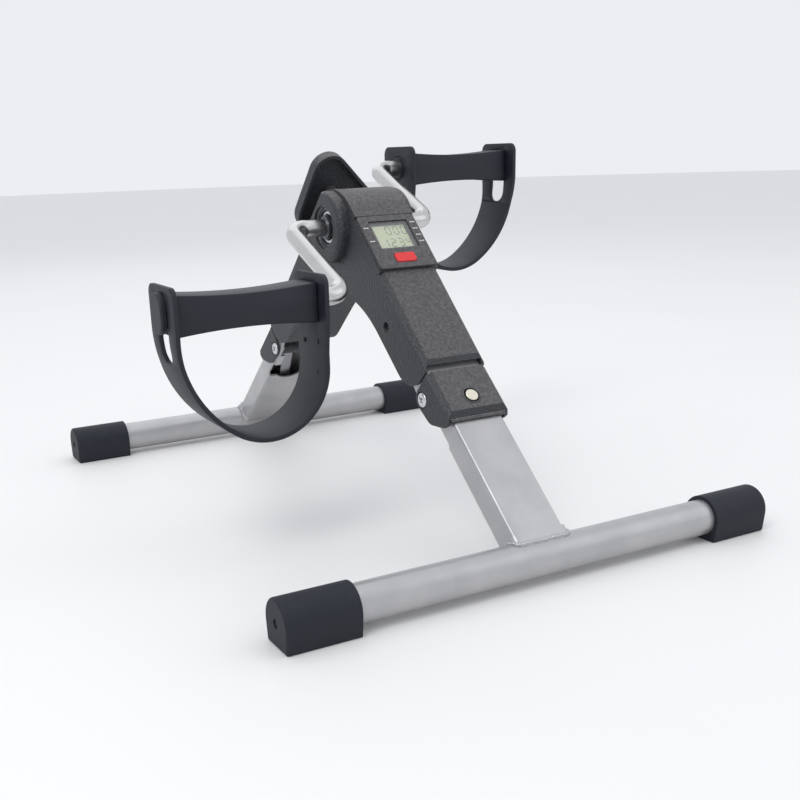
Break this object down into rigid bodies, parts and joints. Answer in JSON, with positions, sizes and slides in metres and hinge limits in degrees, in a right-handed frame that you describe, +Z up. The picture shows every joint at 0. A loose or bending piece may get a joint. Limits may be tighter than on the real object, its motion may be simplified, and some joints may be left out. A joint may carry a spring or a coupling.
{
  "type": "pedal exerciser",
  "caption": "Folding pedal exerciser: two base bars on hinged legs, a housing with display and tension knob, and a crank with strapped pedals.",
  "frame": {"origin": "on the floor, under the middle of the crank axle", "axes": "+X along the base bars to the right of someone facing the display, -Y towards the user and display side, +Z up"},
  "size_m": [0.3964, 0.499, 0.273],
  "materials": {
    "silver_paint": "silver powder coat, satin",
    "black_plastic": "fine textured black plastic",
    "pedal_plastic": "black plastic",
    "strap_plastic": "flexible black plastic",
    "cap_rubber": "black rubber",
    "bright_steel": "polished plated steel",
    "zinc_steel": "zinc plated steel",
    "bearing_steel": "ground steel",
    "spring_steel": "spring steel",
    "red_plastic": "red plastic",
    "clear_window": "clear window",
    "grey_cell": "grey-green liquid crystal cell",
    "green_board": "green board",
    "cell_steel": "button cell",
    "grey_plastic": "grey plastic"
  },
  "bodies": {
    "frame": {"front_channel": "silver_paint", "rear_channel": "silver_paint", "bearing_shell": "silver_paint", "left_bearing_cup": "bearing_steel", "right_bearing_cup": "bearing_steel", "tension_nut": "zinc_steel", "left_housing": "black_plastic", "right_housing": "black_plastic", "housing_screws": "zinc_steel", "display_panel": "black_plastic", "display_glass": "clear_window", "display_cell": "grey_cell", "circuit_board": "green_board", "battery": "cell_steel", "speed_sensor": "grey_plastic", "front_hinge_cover": "black_plastic", "rear_hinge_cover": "black_plastic", "front_pivot_bolt": "zinc_steel", "rear_pivot_bolt": "zinc_steel", "front_pivot_nut": "zinc_steel", "rear_pivot_nut": "zinc_steel"},
    "crank": {"crank": "bright_steel", "left_bearing_cone": "bearing_steel", "right_bearing_cone": "bearing_steel", "left_retaining_ring": "zinc_steel", "right_retaining_ring": "zinc_steel", "magnet_collar": "grey_plastic", "left_pedal_washer": "pedal_plastic", "right_pedal_washer": "pedal_plastic", "left_pedal_clip": "zinc_steel", "right_pedal_clip": "zinc_steel"},
    "shoe": {"friction_shoe": "grey_plastic"},
    "knob": {"tension_screw": "zinc_steel", "tension_knob": "black_plastic"},
    "display_button": {"display_button": "red_plastic"},
    "left_bearing": {"left_bearing_balls": "bearing_steel"},
    "left_pedal": {"left_pedal": "pedal_plastic", "left_pedal_bushes": "grey_plastic", "left_pedal_strap": "strap_plastic", "left_strap_peg": "pedal_plastic"},
    "right_bearing": {"right_bearing_balls": "bearing_steel"},
    "right_pedal": {"right_pedal": "pedal_plastic", "right_pedal_bushes": "grey_plastic", "right_pedal_strap": "strap_plastic", "right_strap_peg": "pedal_plastic"},
    "front_leg": {"front_leg": "silver_paint", "front_base_tube": "silver_paint", "front_left_end_cap": "cap_rubber", "front_right_end_cap": "cap_rubber", "front_pivot_sleeve": "black_plastic"},
    "front_catch": {"front_leg_catch": "spring_steel"},
    "front_button": {"front_release_button": "zinc_steel"},
    "rear_leg": {"rear_leg": "silver_paint", "rear_base_tube": "silver_paint", "rear_left_end_cap": "cap_rubber", "rear_right_end_cap": "cap_rubber", "rear_pivot_sleeve": "black_plastic"},
    "rear_catch": {"rear_leg_catch": "spring_steel"},
    "rear_button": {"rear_release_button": "zinc_steel"}
  },
  "joints": [
    {"name": "crank_spin", "type": "hinge", "parent": "frame", "child": "crank", "pos_m": [0, 0, 0.216], "axis": [1, 0, 0], "continuous": true},
    {"name": "left_pedal_spin", "type": "hinge", "parent": "crank", "child": "left_pedal", "pos_m": [-0.14, -0.0875, 0.1765], "axis": [1, 0, 0], "continuous": true},
    {"name": "left_bearing_roll", "type": "hinge", "parent": "frame", "child": "left_bearing", "pos_m": [0, 0, 0.216], "axis": [1, 0, 0], "continuous": true},
    {"name": "right_pedal_spin", "type": "hinge", "parent": "crank", "child": "right_pedal", "pos_m": [0.14, 0.0875, 0.2555], "axis": [1, 0, 0], "continuous": true},
    {"name": "right_bearing_roll", "type": "hinge", "parent": "frame", "child": "right_bearing", "pos_m": [0, 0, 0.216], "axis": [1, 0, 0], "continuous": true},
    {"name": "front_leg_fold", "type": "hinge", "parent": "frame", "child": "front_leg", "pos_m": [0, -0.1268, 0.10344], "axis": [1, 0, 0], "range_deg": [0, 100]},
    {"name": "front_release_press", "type": "slide", "parent": "frame", "child": "front_button", "axis": [0, 0.6613, -0.7501], "range_m": [0, 0.0019], "stiffness_N_per_m": 600, "springref_m": -0.001},
    {"name": "front_catch_slide", "type": "slide", "parent": "front_leg", "child": "front_catch", "axis": [0, 0.6613, -0.7501], "range_m": [0, 0.0019]},
    {"name": "rear_leg_fold", "type": "hinge", "parent": "frame", "child": "rear_leg", "pos_m": [0, 0.1268, 0.10344], "axis": [-1, 0, 0], "range_deg": [0, 100]},
    {"name": "rear_release_press", "type": "slide", "parent": "frame", "child": "rear_button", "axis": [0, -0.6613, -0.7501], "range_m": [0, 0.0019], "stiffness_N_per_m": 600, "springref_m": -0.001},
    {"name": "rear_catch_slide", "type": "slide", "parent": "rear_leg", "child": "rear_catch", "axis": [0, -0.6613, -0.7501], "range_m": [0, 0.0019]},
    {"name": "display_press", "type": "slide", "parent": "frame", "child": "display_button", "axis": [0, 0.6884, -0.7254], "range_m": [0, 0.001], "stiffness_N_per_m": 400, "springref_m": -0.0005},
    {"name": "shoe_slide", "type": "slide", "parent": "frame", "child": "shoe", "axis": [0, 0.9135, 0.4067], "range_m": [-0.00126, 0.00126]},
    {"name": "knob_turn", "type": "hinge", "parent": "shoe", "child": "knob", "pos_m": [0, 0.04568, 0.23634], "axis": [0, 0.9135, 0.4067], "range_deg": [-360, 360]}
  ],
  "couplings": [
    {"joint": "shoe_slide", "follows": "knob_turn", "m_per_rad": 0.00019894},
    {"joint": "left_bearing_roll", "follows": "crank_spin", "ratio": 0.422},
    {"joint": "right_bearing_roll", "follows": "crank_spin", "ratio": 0.422},
    {"joint": "front_catch_slide", "follows": "front_release_press", "ratio": 1},
    {"joint": "rear_catch_slide", "follows": "rear_release_press", "ratio": 1}
  ]
}
